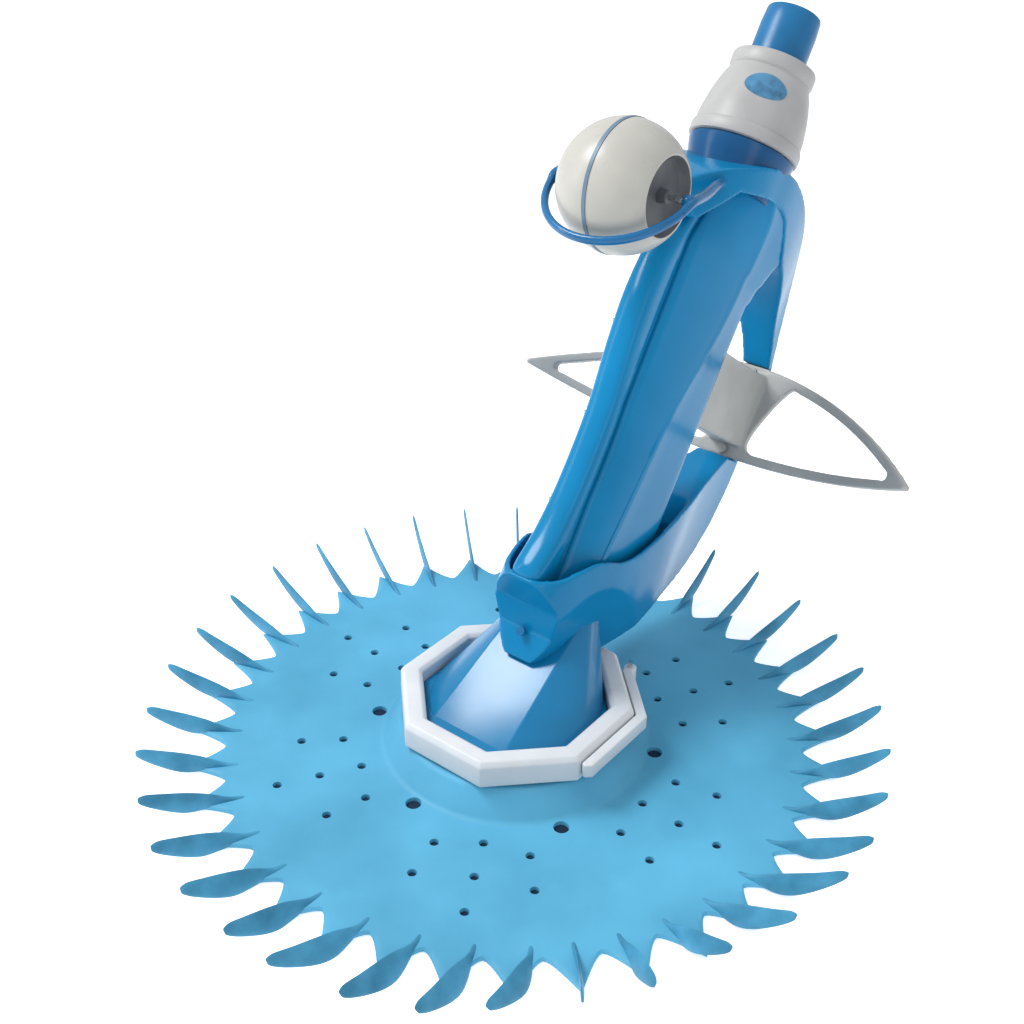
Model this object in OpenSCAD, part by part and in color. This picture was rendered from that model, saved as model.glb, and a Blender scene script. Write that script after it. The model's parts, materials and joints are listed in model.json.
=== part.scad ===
// Suction-side swimming pool cleaner: finned disc, octagonal foot, leaning body with a rear bow,
// float in a hoop, bumper with two wing loops, hand nut and swivelling hose spigot.
// Millimetres, +Z up. The origin is the centre of the suction inlet, on the pool floor.
// The body leans along +Y, and X = 0 is the mirror plane.

/* [Body axis] */
// Lean of the body axis from the vertical, degrees
lean = 34.5; // [32:0.5:36]
// Point where the body axis starts, distance behind the foot centre
axis_y = 16; // [14:0.5:18]
// Height of the point where the body axis starts
axis_z = 23; // [22:0.5:24]
// Length from the start of the body axis to the end of the hose spigot
axis_len = 481; // [478:1:486]

/* [Disc] */
// Radius at the bottom of the gaps between the fins
disc_r = 191.5; // [188:0.5:194]
// Radius at the fin tips
fin_tip_r = 246; // [240:1:250]
// Thickness of the flexible disc
disc_t = 3; // [2.5:0.5:3.5]
// Number of fins around the disc
fin_count = 36; // [30:1:40]
// Height of the fin tips above the floor
fin_rise = 28; // [22:1:32]
// Radius of the six large holes
big_hole_r = 4.7; // [4:0.1:5]
// Radius of the small holes
small_hole_r = 2.6; // [2:0.1:3]

/* [Foot] */
// Corner radius of the octagonal retaining ring, outside
ring_r = 80; // [79:0.5:81]
// Corner radius of the octagonal retaining ring, inside
ring_in_r = 64; // [64:0.5:65]
// Height of the top of the retaining ring
ring_top = 41; // [40:0.5:42]
// Radius of the suction inlet
inlet_r = 24; // [22:0.5:25]
// Radius of the journal that the disc turns on
journal_r = 40; // [39:0.5:41]

/* [Body] */
// Half width of the body across X
body_w = 26; // [25:0.5:27]
// Half depth of the body tube, front to back
body_d = 46; // [44:1:47]
// Wall of the moulded shells
wall = 3; // [2.5:0.1:3.2]
// Outside radius of the flow pipe
pipe_r = 21; // [20.5:0.5:21.5]
// Bore radius of the flow pipe
pipe_bore_r = 18; // [17:0.5:18.5]

/* [Bumper] */
// Half span of the bumper, tip to mirror plane
wing_span = 158; // [150:1:165]
// Width of the bars of the wing loops
wing_bar = 7; // [6:0.5:8]
// Radius that the bumper is curved to around the body
wing_curve_r = 247; // [240:1:260]

/* [Float] */
// Radius of the float ball
float_r = 40; // [38:0.5:41]
// Radius of the hoop, to the middle of its round section
hoop_r = 47.2; // [46.5:0.1:48]
// Radius of the hoop's round section
hoop_wire_r = 2.8; // [2.5:0.1:3]
// Tilt of the hoop, up towards the back
hoop_tilt = 24.5; // [20:0.5:28]

/* [Hose end] */
// Outside radius of the hose spigot
spigot_r = 19; // [18.8:0.1:19.2]
// Bore radius of the hose spigot
spigot_bore_r = 15.5; // [15:0.5:16]
// Radius of the neck that the hand nut turns on
neck_r = 30; // [29.5:0.5:30.5]
// Radius of the hand nut at its beaded rim
nut_rim_r = 37.5; // [37:0.5:38]

/* [Hidden] */

round_fn = 96;                  // facets of the large round parts
run = 0.06;                     // radial running clearance
gap = 0.4;                      // gap between faces that move past each other
eps = 0.01;                     // small overlap used only to cut cleanly

body_blue = [0.10, 0.45, 0.72];
deep_blue = [0.08, 0.34, 0.60];
disc_blue = [0.33, 0.63, 0.80];
warm_white = [0.90, 0.88, 0.86];
bumper_grey = [0.76, 0.75, 0.73];
nut_grey = [0.72, 0.71, 0.68];
pad_grey = [0.20, 0.24, 0.28];
steel = [0.70, 0.71, 0.73];

// Heights of the foot stack
pad_top = 12;
flange_top = 17.2;
flange_r = 56;
hub_low = flange_top + gap;
hub_high = 22.2;
foot_low = hub_high + gap;
foot_rim_top = 25.6;
foot_wall_top = 27;
throat_r = inlet_r + 2;

// The float's centre is the hoop's centre
hoop_y = 96.4;
hoop_z = 351.4;

// Stations along the body axis
body_low = 86;
body_high = 366;
neck_high = 398;
nut_low = 387;
nut_top = 447;
spigot_low = 405;
spigot_step = 449;
spigot_taper = 471;

// Places children in the body's frame: X across, Y towards the back, Z along the leaning axis
module on_axis() {
    translate([0, axis_y, axis_z]) rotate([-lean, 0, 0]) children();
}

// Extrudes a side outline, drawn as [back, along], to a width of 2 * w across X
module side(points, w) {
    rotate([90, 0, 90]) translate([0, 0, -w]) linear_extrude(2 * w) polygon(points);
}

// Extrudes a plan outline, drawn as [x, back], along the body axis
module plan(points, low, high) {
    translate([0, 0, low]) linear_extrude(high - low) polygon(points);
}

// Closes a half outline given as [back, half width] pairs, front to back
function inset(p, trim) = [max(p[1] - trim, 0), p[0] + (p[0] < 0 ? trim : -trim)];
function mirrored(half, trim = 0) = concat(
    [for (p = half) inset(p, trim)],
    [for (i = [len(half) - 1 : -1 : 0]) [-inset(half[i], trim)[0], inset(half[i], trim)[1]]]);

module octagon(r, h) {
    rotate(22.5) cylinder(r = r, h = h, $fn = 8);
}

// ---- Foot ----

module foot_pad() color(pad_grey) difference() {
    rotate_extrude($fn = round_fn)
        polygon([[inlet_r, 0], [54, 0], [60, 3], [62, 7], [60, pad_top], [inlet_r, pad_top]]);
    for (k = [0 : 7]) rotate(22.5 + 45 * k)
        translate([34, -4, -1]) cube([40, 8, 4.5]);
}

module foot_flange() color(deep_blue) difference() {
    union() {
        translate([0, 0, pad_top]) cylinder(r = flange_r, h = flange_top - pad_top, $fn = round_fn);
        translate([0, 0, flange_top - eps])
            cylinder(r = journal_r, h = foot_low - flange_top + eps, $fn = round_fn);
    }
    translate([0, 0, pad_top - 1]) cylinder(r = throat_r, h = foot_low, $fn = round_fn);
}

// Half outline of the top of the foot: [back, half width, height] from front to back
foot_crown = [[34, 19, 77], [44, 24, 84], [58, 24, 84], [63, 14, 76]];

// Pyramid between the octagonal wall and the crown, shrunk all round by trim
module foot_pyramid(trim = 0) {
    base = [for (z = [foot_rim_top - 1, foot_wall_top], k = [0 : 7])
        [(61 - trim) * cos(22.5 + 45 * k), (61 - trim) * sin(22.5 + 45 * k), z]];
    crown = [for (p = foot_crown, s = [-1, 1]) [s * (p[1] - trim), p[0], p[2] - trim]];
    corners = concat(base, crown);
    hull() polyhedron(corners, [[for (i = [0 : len(corners) - 1]) i]]);
}

module foot_shell() color(body_blue) difference() {
    union() {
        translate([0, 0, foot_low]) octagon(ring_in_r, foot_rim_top - foot_low);
        foot_pyramid();
    }
    foot_pyramid(wall);
    translate([0, 0, foot_low - 1]) cylinder(r = journal_r - 6, h = 6, $fn = round_fn);
    on_axis() cylinder(r = pipe_r + 1, h = 120, $fn = round_fn);
}

// Funnel from the suction inlet to the leaning passage
module throat_insert() color(warm_white) difference() {
    union() {
        translate([0, 0, foot_low]) cylinder(r = journal_r - 6.2, h = 3, $fn = round_fn);
        on_axis() translate([0, 0, 6]) cylinder(r = pipe_r, h = 54, $fn = round_fn);
    }
    on_axis() translate([0, 0, -20]) cylinder(r = pipe_bore_r, h = 90, $fn = round_fn);
    translate([-60, -60, foot_low - 40]) cube([120, 120, 40]);
}

module retaining_ring() color(warm_white) {
    difference() {
        translate([0, 0, foot_low - gap]) octagon(ring_r, ring_top - foot_low + gap);
        translate([0, 0, foot_low - 1]) octagon(ring_in_r, ring_top);
    }
    // Two ears that hold the pin of the catch
    for (z = [foot_low - gap, ring_top - 4]) difference() {
        hull() {
            translate([catch_x, catch_y, z]) cylinder(r = 4.4, h = 4, $fn = 32);
            rotate(45) translate([70, 4, z]) cube([4, 24, 4]);
        }
        translate([catch_x, catch_y, z - 1]) cylinder(r = 1.5, h = 6, $fn = 32);
    }
}

catch_angle = 58;
catch_arm = 82.5;
catch_x = catch_arm * cos(catch_angle);
catch_y = catch_arm * sin(catch_angle);

module catch_pin() color(steel)
    translate([catch_x, catch_y, foot_low - gap]) cylinder(r = 1.5, h = ring_top - foot_low + gap, $fn = 32);

// Band that closes the retaining ring, hinged on the pin
catch_end = -21;
catch_gap = 0.8;
catch_band = 7.2;
knuckle_r = 4.2;
function octagon_point(r, a) = r * cos(22.5) / cos(a < 22.5 ? a : a - 45) * [cos(a), sin(a)];

module ring_catch() color(warm_white) {
    low = foot_low + 4;
    high = ring_top - 4.4;
    in_r = ring_r + catch_gap;
    out_r = in_r + catch_band;
    difference() {
        translate([0, 0, low]) linear_extrude(high - low) polygon(concat(
            [octagon_point(out_r, catch_end), octagon_point(out_r, 22.5)],
            [for (a = [-76 : 16 : 180]) [catch_x, catch_y] + knuckle_r * [cos(45 + a), sin(45 + a)]],
            [octagon_point(in_r, catch_angle - 1), octagon_point(in_r, 22.5), octagon_point(in_r, catch_end)]));
        translate([catch_x, catch_y, low - 1]) cylinder(r = 1.5 + run, h = high - low + 2, $fn = 32);
    }
}

// ---- Disc ----

hub_ring_r = 46;
fin_phase = 8;
fin_tip_w = 3;
notch_w = 2 * PI * fin_tip_r / fin_count - fin_tip_w;

// Space between two fins, centred on the X axis
module notch() translate([0, 0, -1]) linear_extrude(fin_rise + 2)
    polygon([[disc_r, -1], [disc_r, 1], [fin_tip_r + 4, notch_w / 2 + 1.5], [fin_tip_r + 4, -notch_w / 2 - 1.5]]);

small_holes = [[105, 0], [113.8, 15], [113.8, -15], [132.5, 0], [141.3, 15], [141.3, -15], [160, 0]];

module disc() color(disc_blue) difference() {
    rotate_extrude($fn = 144)
        polygon([[hub_ring_r, 18.3], [74, 18.3], [86, 0], [disc_r, 0], [disc_r + 22, 8],
                 [fin_tip_r, fin_rise - disc_t], [fin_tip_r, fin_rise], [disc_r + 21, 11],
                 [disc_r - 1, disc_t], [88, disc_t], [76, 21], [hub_ring_r, 21]]);
    for (k = [0 : fin_count - 1]) rotate(fin_phase + 360 / fin_count * (k + 0.5)) notch();
    for (k = [0 : 5]) {
        rotate(26 + 60 * k) translate([94, 0, -1]) cylinder(r = big_hole_r, h = 8, $fn = 32);
        rotate(58 + 60 * k) for (h = small_holes)
            rotate(h[1]) translate([h[0], 0, -1]) cylinder(r = small_hole_r, h = 8, $fn = 24);
    }
}

module disc_hub() color(deep_blue) rotate_extrude($fn = round_fn)
    polygon([[journal_r + run, hub_low], [hub_ring_r + 5, hub_low], [hub_ring_r + 5, 18.3], [hub_ring_r, 18.3],
             [hub_ring_r, hub_high], [journal_r + run, hub_high]]);

// ---- Body ----

// Half width of the body at each distance behind the axis: a spine in front of an oval tube
function oval(t, w, d) = w * sqrt(max(0, 1 - pow(t / d, 2)));
spine_w = 10;
spine_front = -66;
body_plan = concat([[spine_front, 0], [spine_front + 1, 5], [spine_front + 4, spine_w]],
                   [for (a = [-70 : 10 : 90]) [body_d * sin(a), max(body_w * cos(a), 0)]]);
body_cavity = [for (a = [-90 : 10 : 90]) [(body_d - wall) * sin(a), (body_w - wall) * cos(a)]];

// Side outline of the body: gently bowed at the front, straight at the back
body_side = [[-40, body_low], [46, body_low], [46, body_high], [-44, body_high - 14], [-56, 320],
             [-64, 280], [-65, 240], [-60, 200], [-56, 150], [-58, 105], [-54, body_low + 6]];

module body_half(s) color(body_blue) on_axis() difference() {
    intersection() {
        plan(mirrored(body_plan), body_low, body_high);
        side(body_side, 40);
        translate([s > 0 ? 0 : -60, -100, 0]) cube([60, 200, 500]);
    }
    plan(mirrored(body_cavity), body_low - 1, body_high - 16);
    translate([0, 0, body_high - 17]) cylinder(r = pipe_r, h = 30, $fn = round_fn);
    for (p = screw_spots) screw_hole(p);
}

module body_left() { body_half(-1); }
module body_right() { body_half(1); }

// Screws through the spine, as [back, along]
screw_spots = [[-50.5, 130], [-51, 190], [-55, 250]];
screw_r = 1.6;
screw_head_r = 3;

module screw_hole(p) {
    translate([-40, p[0], p[1]]) rotate([0, 90, 0]) cylinder(r = screw_r, h = 80, $fn = 24);
    translate([-40, p[0], p[1]]) rotate([0, 90, 0]) cylinder(r = screw_head_r + 0.3, h = 40 - 7 + 5 * eps, $fn = 24);
}

module body_screws() color(steel) on_axis() for (p = screw_spots) {
    translate([-7, p[0], p[1]]) rotate([0, 90, 0]) cylinder(r = screw_r, h = 14, $fn = 24);
    translate([-9, p[0], p[1]]) rotate([0, 90, 0]) cylinder(r = screw_head_r, h = 2 + eps, $fn = 24);
}

// ---- Flow path ----

pipe_low = 110;

module flow_pipe() color(warm_white) on_axis() difference() {
    translate([0, 0, pipe_low]) cylinder(r = pipe_r, h = spigot_low - pipe_low - gap, $fn = round_fn);
    translate([0, 0, pipe_low - 1]) cylinder(r = pipe_bore_r, h = 400, $fn = round_fn);
}

// Soft rubber sleeve that pulses in the lower body
module diaphragm() color(pad_grey) on_axis() rotate_extrude($fn = round_fn)
    polygon([[pipe_bore_r, 60], [22, 60], [22, 64], [20, 70], [14, 96], [19, 104], [21.5, 106],
             [21.5, pipe_low], [pipe_bore_r, pipe_low], [17, 105], [12, 97], [12, 94], [16.5, 72], [17.5, 64]]);

module diaphragm_ring() color(warm_white) on_axis() rotate_extrude($fn = round_fn)
    polygon([[21.5, 106], [22.9, 106], [22.9, 116], [pipe_r, 116], [pipe_r, pipe_low], [21.5, pipe_low]]);

// ---- Bow ----

// Half width of the bow at each distance behind the axis
upper_plan = [[-74, 0], [-73, 8], [-66, 14], [-44, 26], [-18, 34], [18, 34], [44, 30], [66, 26], [90, 21],
              [120, 14], [156, 9.5]];
upper_side = [[-44, body_high - 14], [-58, 322], [-73, 334], [-70, 343], [-52, 358], [-34, 367],
              [-12, 377], [13, 383], [40, 382], [66, 378], [88, 368], [106, 354], [119, 338], [132, 314],
              [143, 292], [153, 276], [155, 262], [148, 262], [148, 274.5], [142, 274.5], [131, 288],
              [112, 305], [92, 320], [70, 333], [46, 342], [46, body_high]];
module upper_bow() color(body_blue) on_axis() difference() {
    intersection() {
        side(upper_side, 40);
        plan(mirrored(upper_plan), 250, 400);
    }
    translate([0, 0, 300]) cylinder(r = neck_r, h = 200, $fn = round_fn);
    arm_ends();
    bumper_holes();
}

lower_plan = [[-70, 0], [-69, 8], [-64, 16], [-52, 24], [-30, 30], [0, 32], [36, 30], [70, 25],
              [100, 18], [130, 13], [158, 10]];
lower_side = [[-36, 25], [-39, 45], [-50, 62], [-68, 76], [-66, 82], [-42, 90], [-5, 100], [12, 112],
              [36, 130], [57, 146], [84, 166], [106, 184], [128, 201.5], [148, 201.5], [148, 214],
              [154, 214], [156, 200], [154, 176], [146, 148], [132, 122], [112, 102], [84, 84],
              [56, 66], [27, 44], [-10, 26]];
lower_cavity = [[-33, 30], [-35.5, 46], [-47, 64.5], [-62.5, 78], [-62.5, 120], [50, 160], [76, 140],
                [84, 120], [78, 96], [56, 76], [30, 54], [-20, 24]];

module lower_bow() color(body_blue) difference() {
    on_axis() difference() {
        intersection() {
            side(lower_side, 40);
            plan(mirrored(lower_plan), 10, 220);
        }
        intersection() {
            side(lower_cavity, 40);
            plan(mirrored(lower_plan, wall), 10, 220);
        }
        bumper_holes();
    }
    foot_pyramid();
    tongue_screw_cut();
}

// Screw through the tongue of the lower bow into the foot
tongue_screw = [-38.6, 43];
module tongue_screw_cut() on_axis()
    translate([0, -60, tongue_screw[1]]) rotate([-90, 0, 0]) cylinder(r = 1.6, h = 28, $fn = 24);

module tongue_screw() color(steel) on_axis() {
    translate([0, tongue_screw[0] - 3, tongue_screw[1]]) rotate([-90, 0, 0]) cylinder(r = 1.6, h = 8, $fn = 24);
    translate([0, tongue_screw[0] - 5.2, tongue_screw[1]]) rotate([-90, 0, 0])
        cylinder(r = 3, h = 2.4, $fn = 24);
}

module keel_weight() color([0.25, 0.25, 0.27]) on_axis()
    side([[50, 70.9], [56, 76], [78, 96], [84, 120], [76, 128], [50, 110]], 10);

// ---- Bumper ----

wing_top = 274;
wing_low = 202;
wing_tip = 220;
wing_steps = 14;
plate_w = 12;
bumper_t = 145;
bumper_thick = 6;

function wing_hi(x) = wing_top - (wing_top - wing_tip) * pow(x / wing_span, 2);
function wing_lo(x) = wing_low + (wing_tip - wing_low) * pow(x / wing_span, 2) * 0.85;
loop_end = wing_span - 26;
module loop_hole(s) {
    xs = [for (i = [0 : wing_steps]) 28 + (loop_end - 28) * i / wing_steps];
    polygon(concat([for (x = xs) [s * x, wing_hi(x) - wing_bar - 3 * pow(x / wing_span, 2)]],
                   [for (i = [wing_steps : -1 : 0]) [s * xs[i], wing_lo(xs[i]) + wing_bar]],
                   [[s * 20, wing_low + wing_bar + 1], [s * plate_w, 226], [s * (plate_w + 1), 240],
                    [s * 19, 254]]));
}

module bumper() color(bumper_grey) on_axis() difference() {
    intersection() {
        rotate([90, 0, 0]) translate([0, 0, -170]) linear_extrude(170) difference() {
            xs = [for (i = [-wing_steps : wing_steps]) wing_span * i / wing_steps];
            polygon(concat([for (x = xs) [x, wing_hi(abs(x))]],
                           [for (i = [len(xs) - 1 : -1 : 0]) [xs[i], wing_lo(abs(xs[i])) - eps]]));
            loop_hole(1);
            loop_hole(-1);
        }
        translate([0, bumper_t - wing_curve_r, 150]) difference() {
            cylinder(r = wing_curve_r + bumper_thick / 2, h = 150, $fn = 240);
            translate([0, 0, -1]) cylinder(r = wing_curve_r - bumper_thick / 2, h = 152, $fn = 240);
        }
    }
    bumper_holes();
}

bumper_screw_spots = [268.5, 207.5];
module bumper_holes() for (s = bumper_screw_spots)
    translate([0, 130, s]) rotate([-90, 0, 0]) cylinder(r = 1.8, h = 40, $fn = 24);

module bumper_screws() color(steel) on_axis() for (s = bumper_screw_spots) {
    translate([0, 140, s]) rotate([-90, 0, 0]) cylinder(r = 1.8, h = 18, $fn = 24);
    translate([0, 139.5, s]) rotate([-90, 0, 0]) cylinder(r = 3.6, h = 2.5, $fn = 24);
}

// ---- Float ----

module at_float() { translate([0, hoop_y, hoop_z]) children(); }

function hoop_point(a) = [hoop_r * cos(a), hoop_y + hoop_r * sin(a) * cos(hoop_tilt),
                          hoop_z + hoop_r * sin(a) * sin(hoop_tilt)];
function axis_point(p) = [p[0], axis_y + p[2] * sin(lean) + p[1] * cos(lean),
                          axis_z + p[2] * cos(lean) - p[1] * sin(lean)];

// Round rod between two points
module rod(a, b, r) {
    d = b - a;
    translate(a) rotate([0, acos(d[2] / norm(d)), atan2(d[1], d[0])]) cylinder(r = r, h = norm(d), $fn = 32);
}

// The last stretch of each arm of the hoop, seated in the upper bow, in the body's frame
arm_r = 2.6;
arm_elbow = [28, -88, 343];
arm_root = [9, -64, 338];

// The hoop is open at the back: it ends where its arms leave it, this many degrees behind the pins
hoop_end = 38;
module arm_ends() for (s = [-1, 1])
    rod([s * arm_elbow[0], arm_elbow[1], arm_elbow[2]], [s * arm_root[0], arm_root[1], arm_root[2]], arm_r);

module float_hoop() color(deep_blue) difference() {
    union() {
        at_float() rotate([hoop_tilt, 0, 0]) rotate([0, 0, 180 - hoop_end])
            rotate_extrude(angle = 180 + 2 * hoop_end, $fn = round_fn)
                translate([hoop_r, 0]) circle(r = hoop_wire_r, $fn = 12);
        on_axis() arm_ends();
        for (s = [-1, 1]) {
            elbow = axis_point([s * arm_elbow[0], arm_elbow[1], arm_elbow[2]]);
            root = hoop_point(hoop_end - 3);
            rod([s * root[0], root[1], root[2]], elbow, arm_r);
            translate(elbow) sphere(r = arm_r + 1, $fn = 32);
            at_float() translate([s * (hoop_r - 3), 0, 0]) rotate([0, 90, 0])
                cylinder(r = 4, h = 5, center = true, $fn = 32);
        }
    }
    at_float() rotate([0, 90, 0]) cylinder(r = pin_r, h = 120, center = true, $fn = 32);
}

pin_r = 1.8;
pin_in = 31;
pin_out = 46;

module hoop_pins() color(steel) at_float() for (s = [-1, 1])
    rotate([0, 90 * s, 0]) translate([0, 0, pin_in]) cylinder(r = pin_r, h = pin_out - pin_in, $fn = 32);

seam_w = 1.2;
pole_x = 35;

float_wall = 2.5;

// Half of the ball, turned about X: outside from the seam to the pole, inside back again
module float_half(s) color(bumper_grey) at_float() rotate([0, 90 * s, 0]) rotate_extrude($fn = 80) {
    out_end = acos(pole_x / float_r);
    in_r = float_r - float_wall;
    in_x = pole_x - float_wall;
    in_end = acos(in_x / in_r);
    out_start = 90 - asin(seam_w / float_r);
    in_start = 90 - asin(seam_w / in_r);
    polygon(concat(
        [[pin_r + run, pole_x]],
        [for (i = [0 : 12]) let (a = out_end + (out_start - out_end) * i / 12) float_r * [sin(a), cos(a)]],
        [for (i = [12 : -1 : 0]) let (a = in_end + (in_start - in_end) * i / 12) in_r * [sin(a), cos(a)]],
        [[pin_r + run, in_x]]));
}

module float_left() { float_half(-1); }
module float_right() { float_half(1); }

module float_band() color([0.35, 0.48, 0.60]) at_float() rotate([0, 90, 0])
    translate([0, 0, -seam_w]) difference() {
        cylinder(r = float_r + 0.4, h = 2 * seam_w, $fn = 80);
        translate([0, 0, -1]) cylinder(r = float_r - 3, h = 2 * seam_w + 2, $fn = 80);
    }

// ---- Hose end ----

module neck_ring() color(deep_blue) on_axis() difference() {
    translate([0, 0, body_high]) cylinder(r = neck_r, h = neck_high - body_high, $fn = round_fn);
    translate([0, 0, body_high - 1]) cylinder(r = pipe_r, h = 60, $fn = round_fn);
}

module swivel_bearing() color(warm_white) on_axis() difference() {
    translate([0, 0, neck_high]) cylinder(r = 25, h = 25, $fn = round_fn);
    translate([0, 0, neck_high - 1]) cylinder(r = pipe_r, h = spigot_low - gap - neck_high + 1, $fn = round_fn);
    translate([0, 0, spigot_low - gap - 1]) cylinder(r = 18.4 + run, h = 40, $fn = round_fn);
}

module swivel_seal() color([0.12, 0.12, 0.13]) on_axis() translate([0, 0, neck_high + 12])
    rotate_extrude($fn = round_fn) translate([26.4, 0]) circle(r = 1.4, $fn = 24);

module hand_nut() color(nut_grey) on_axis() difference() {
    rotate_extrude($fn = round_fn)
        polygon([[neck_r + run, nut_low], [36.5, nut_low], [nut_rim_r, nut_low + 2], [nut_rim_r, nut_low + 7],
                 [36.2, nut_low + 9], [35.2, nut_low + 20], [32.4, nut_low + 34], [28.6, nut_low + 46],
                 [27, nut_low + 49], [28.4, nut_low + 51], [28.4, nut_top - 1.5], [27.2, nut_top],
                 [19.4, nut_top], [19.4, 436], [25, 436], [29, nut_low + 24], [neck_r + run, nut_low + 12]]);
    badge_shape(1);
}

// Plain oval plate set into the front of the hand nut
badge_turn = 28;
module badge_shape(depth) {
    rotate(badge_turn) intersection() {
        translate([0, 0, 412]) rotate([90 - 17, 0, 0])
            linear_extrude(60) polygon([for (a = [0 : 12 : 348]) [14 * cos(a), 8.5 * sin(a)]]);
        rotate_extrude($fn = round_fn)
            polygon([[35.8 - depth, nut_low + 9], [38, nut_low + 9], [38, nut_low + 46], [28.6 - depth, nut_low + 46],
                     [32.4 - depth, nut_low + 34], [35.2 - depth, nut_low + 20]]);
    }
}

module badge() color([0.40, 0.55, 0.68]) on_axis() intersection() {
    badge_shape(1);
    rotate_extrude($fn = round_fn)
        polygon([[20, nut_low + 9], [36.8, nut_low + 9], [35.8, nut_low + 20], [33, nut_low + 34],
                 [29.2, nut_low + 46], [20, nut_low + 46]]);
}

module spigot() color(deep_blue) on_axis() difference() {
    rotate_extrude($fn = round_fn)
        polygon([[spigot_bore_r, spigot_low], [18.4, spigot_low], [18.4, 427], [23, 427], [23, 432],
                 [18.4, 432], [18.4, spigot_step], [spigot_r, spigot_step], [spigot_r, spigot_taper],
                 [spigot_r - 0.8, axis_len], [spigot_bore_r, axis_len]]);
}

foot_pad();
foot_flange();
foot_shell();
throat_insert();
retaining_ring();
catch_pin();
ring_catch();
disc();
disc_hub();
body_left();
body_right();
body_screws();
flow_pipe();
diaphragm();
diaphragm_ring();
upper_bow();
lower_bow();
tongue_screw();
keel_weight();
bumper();
bumper_screws();
float_hoop();
hoop_pins();
float_left();
float_right();
float_band();
neck_ring();
swivel_bearing();
swivel_seal();
hand_nut();
badge();
spigot();
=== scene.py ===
import json
import math
import random

import bmesh
import bpy
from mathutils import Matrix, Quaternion, Vector


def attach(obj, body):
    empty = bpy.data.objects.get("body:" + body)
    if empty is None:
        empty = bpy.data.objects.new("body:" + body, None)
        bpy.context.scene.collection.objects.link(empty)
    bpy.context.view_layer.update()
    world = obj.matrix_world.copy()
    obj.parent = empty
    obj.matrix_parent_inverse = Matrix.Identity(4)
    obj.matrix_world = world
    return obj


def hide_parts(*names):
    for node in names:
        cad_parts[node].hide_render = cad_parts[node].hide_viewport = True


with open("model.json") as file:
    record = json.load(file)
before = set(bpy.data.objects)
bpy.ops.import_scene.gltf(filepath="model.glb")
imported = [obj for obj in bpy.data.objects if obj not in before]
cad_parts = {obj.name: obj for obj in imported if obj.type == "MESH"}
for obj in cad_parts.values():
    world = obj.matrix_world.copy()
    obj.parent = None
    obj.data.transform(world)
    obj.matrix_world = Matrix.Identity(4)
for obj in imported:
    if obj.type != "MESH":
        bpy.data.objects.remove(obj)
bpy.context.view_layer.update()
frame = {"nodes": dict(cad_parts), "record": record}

# Shapes are given in mm and degrees, and turned into metres by at() and row(). Lights, camera and
# FLOAT_C are in metres.
MM = 0.001

# ---------------------------------------------------------------- frame of the leaning body
SPIGOT_MOUNT = next(m for m in frame["record"]["mounts"] if m["name"] == "hose_spigot")
MOUNT_S = 460                                   # the mount's place along the body axis
ALONG = Vector(SPIGOT_MOUNT["axis"]).normalized()
ACROSS = Vector((1, 0, 0))
BACK = Vector((0, ALONG.z, -ALONG.y))
AXIS_START = Vector(SPIGOT_MOUNT["pos_m"]) - ALONG * MOUNT_S * MM
FLOAT_C = Vector((0, 0.0964, 0.3514))


def at(x, t, s):
    """Point on the leaning body: x across, t behind the body axis, s along it."""
    return AXIS_START + (ACROSS * x + BACK * t + ALONG * s) * MM


def row(x, y, z):
    """Point in the model's upright frame."""
    return Vector((x, y, z)) * MM


# ---------------------------------------------------------------- materials
GRAIN_DEPTH = 0.0006
RAMP_FROM, RAMP_TO = 0.3, 0.72
SUBSURFACE_RADIUS = (0.004, 0.006, 0.008)


def material(name, colour, rough=0.35, vary=0.08, scale=30, bump=0.04, bump_scale=900,
             spread=0.08, tint=None, subsurface=0.0, specular=0.3):
    """Moulded plastic: cloudy colour, uneven gloss and a fine moulded grain."""
    m = bpy.data.materials.new(name)
    m.use_nodes = True
    nt = m.node_tree
    bsdf = nt.nodes["Principled BSDF"]
    coord = nt.nodes.new("ShaderNodeTexCoord")

    def noise(noise_scale, detail):
        node = nt.nodes.new("ShaderNodeTexNoise")
        node.inputs["Scale"].default_value = noise_scale
        node.inputs["Detail"].default_value = detail
        nt.links.new(coord.outputs["Object"], node.inputs["Vector"])
        return node.outputs["Fac"]

    ramp = nt.nodes.new("ShaderNodeValToRGB")
    dark_end, light_end = ramp.color_ramp.elements
    dark_end.position, light_end.position = RAMP_FROM, RAMP_TO
    dark_end.color = (*[c * (1 - vary) for c in colour], 1)
    light_end.color = (*[min(1, c * (1 + vary)) for c in (tint or colour)], 1)
    nt.links.new(noise(scale, 5), ramp.inputs["Fac"])
    nt.links.new(ramp.outputs["Color"], bsdf.inputs["Base Color"])

    gloss = nt.nodes.new("ShaderNodeMapRange")
    gloss.inputs["To Min"].default_value = max(0.02, rough - spread)
    gloss.inputs["To Max"].default_value = rough + spread
    nt.links.new(noise(scale * 2.7, 8), gloss.inputs["Value"])
    nt.links.new(gloss.outputs["Result"], bsdf.inputs["Roughness"])

    relief = nt.nodes.new("ShaderNodeBump")
    relief.inputs["Strength"].default_value = bump
    relief.inputs["Distance"].default_value = GRAIN_DEPTH
    nt.links.new(noise(bump_scale, 3), relief.inputs["Height"])
    nt.links.new(relief.outputs["Normal"], bsdf.inputs["Normal"])

    bsdf.inputs["Specular IOR Level"].default_value = specular
    bsdf.inputs["Subsurface Weight"].default_value = subsurface
    if subsurface:
        bsdf.inputs["Subsurface Radius"].default_value = SUBSURFACE_RADIUS
    return m


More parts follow.
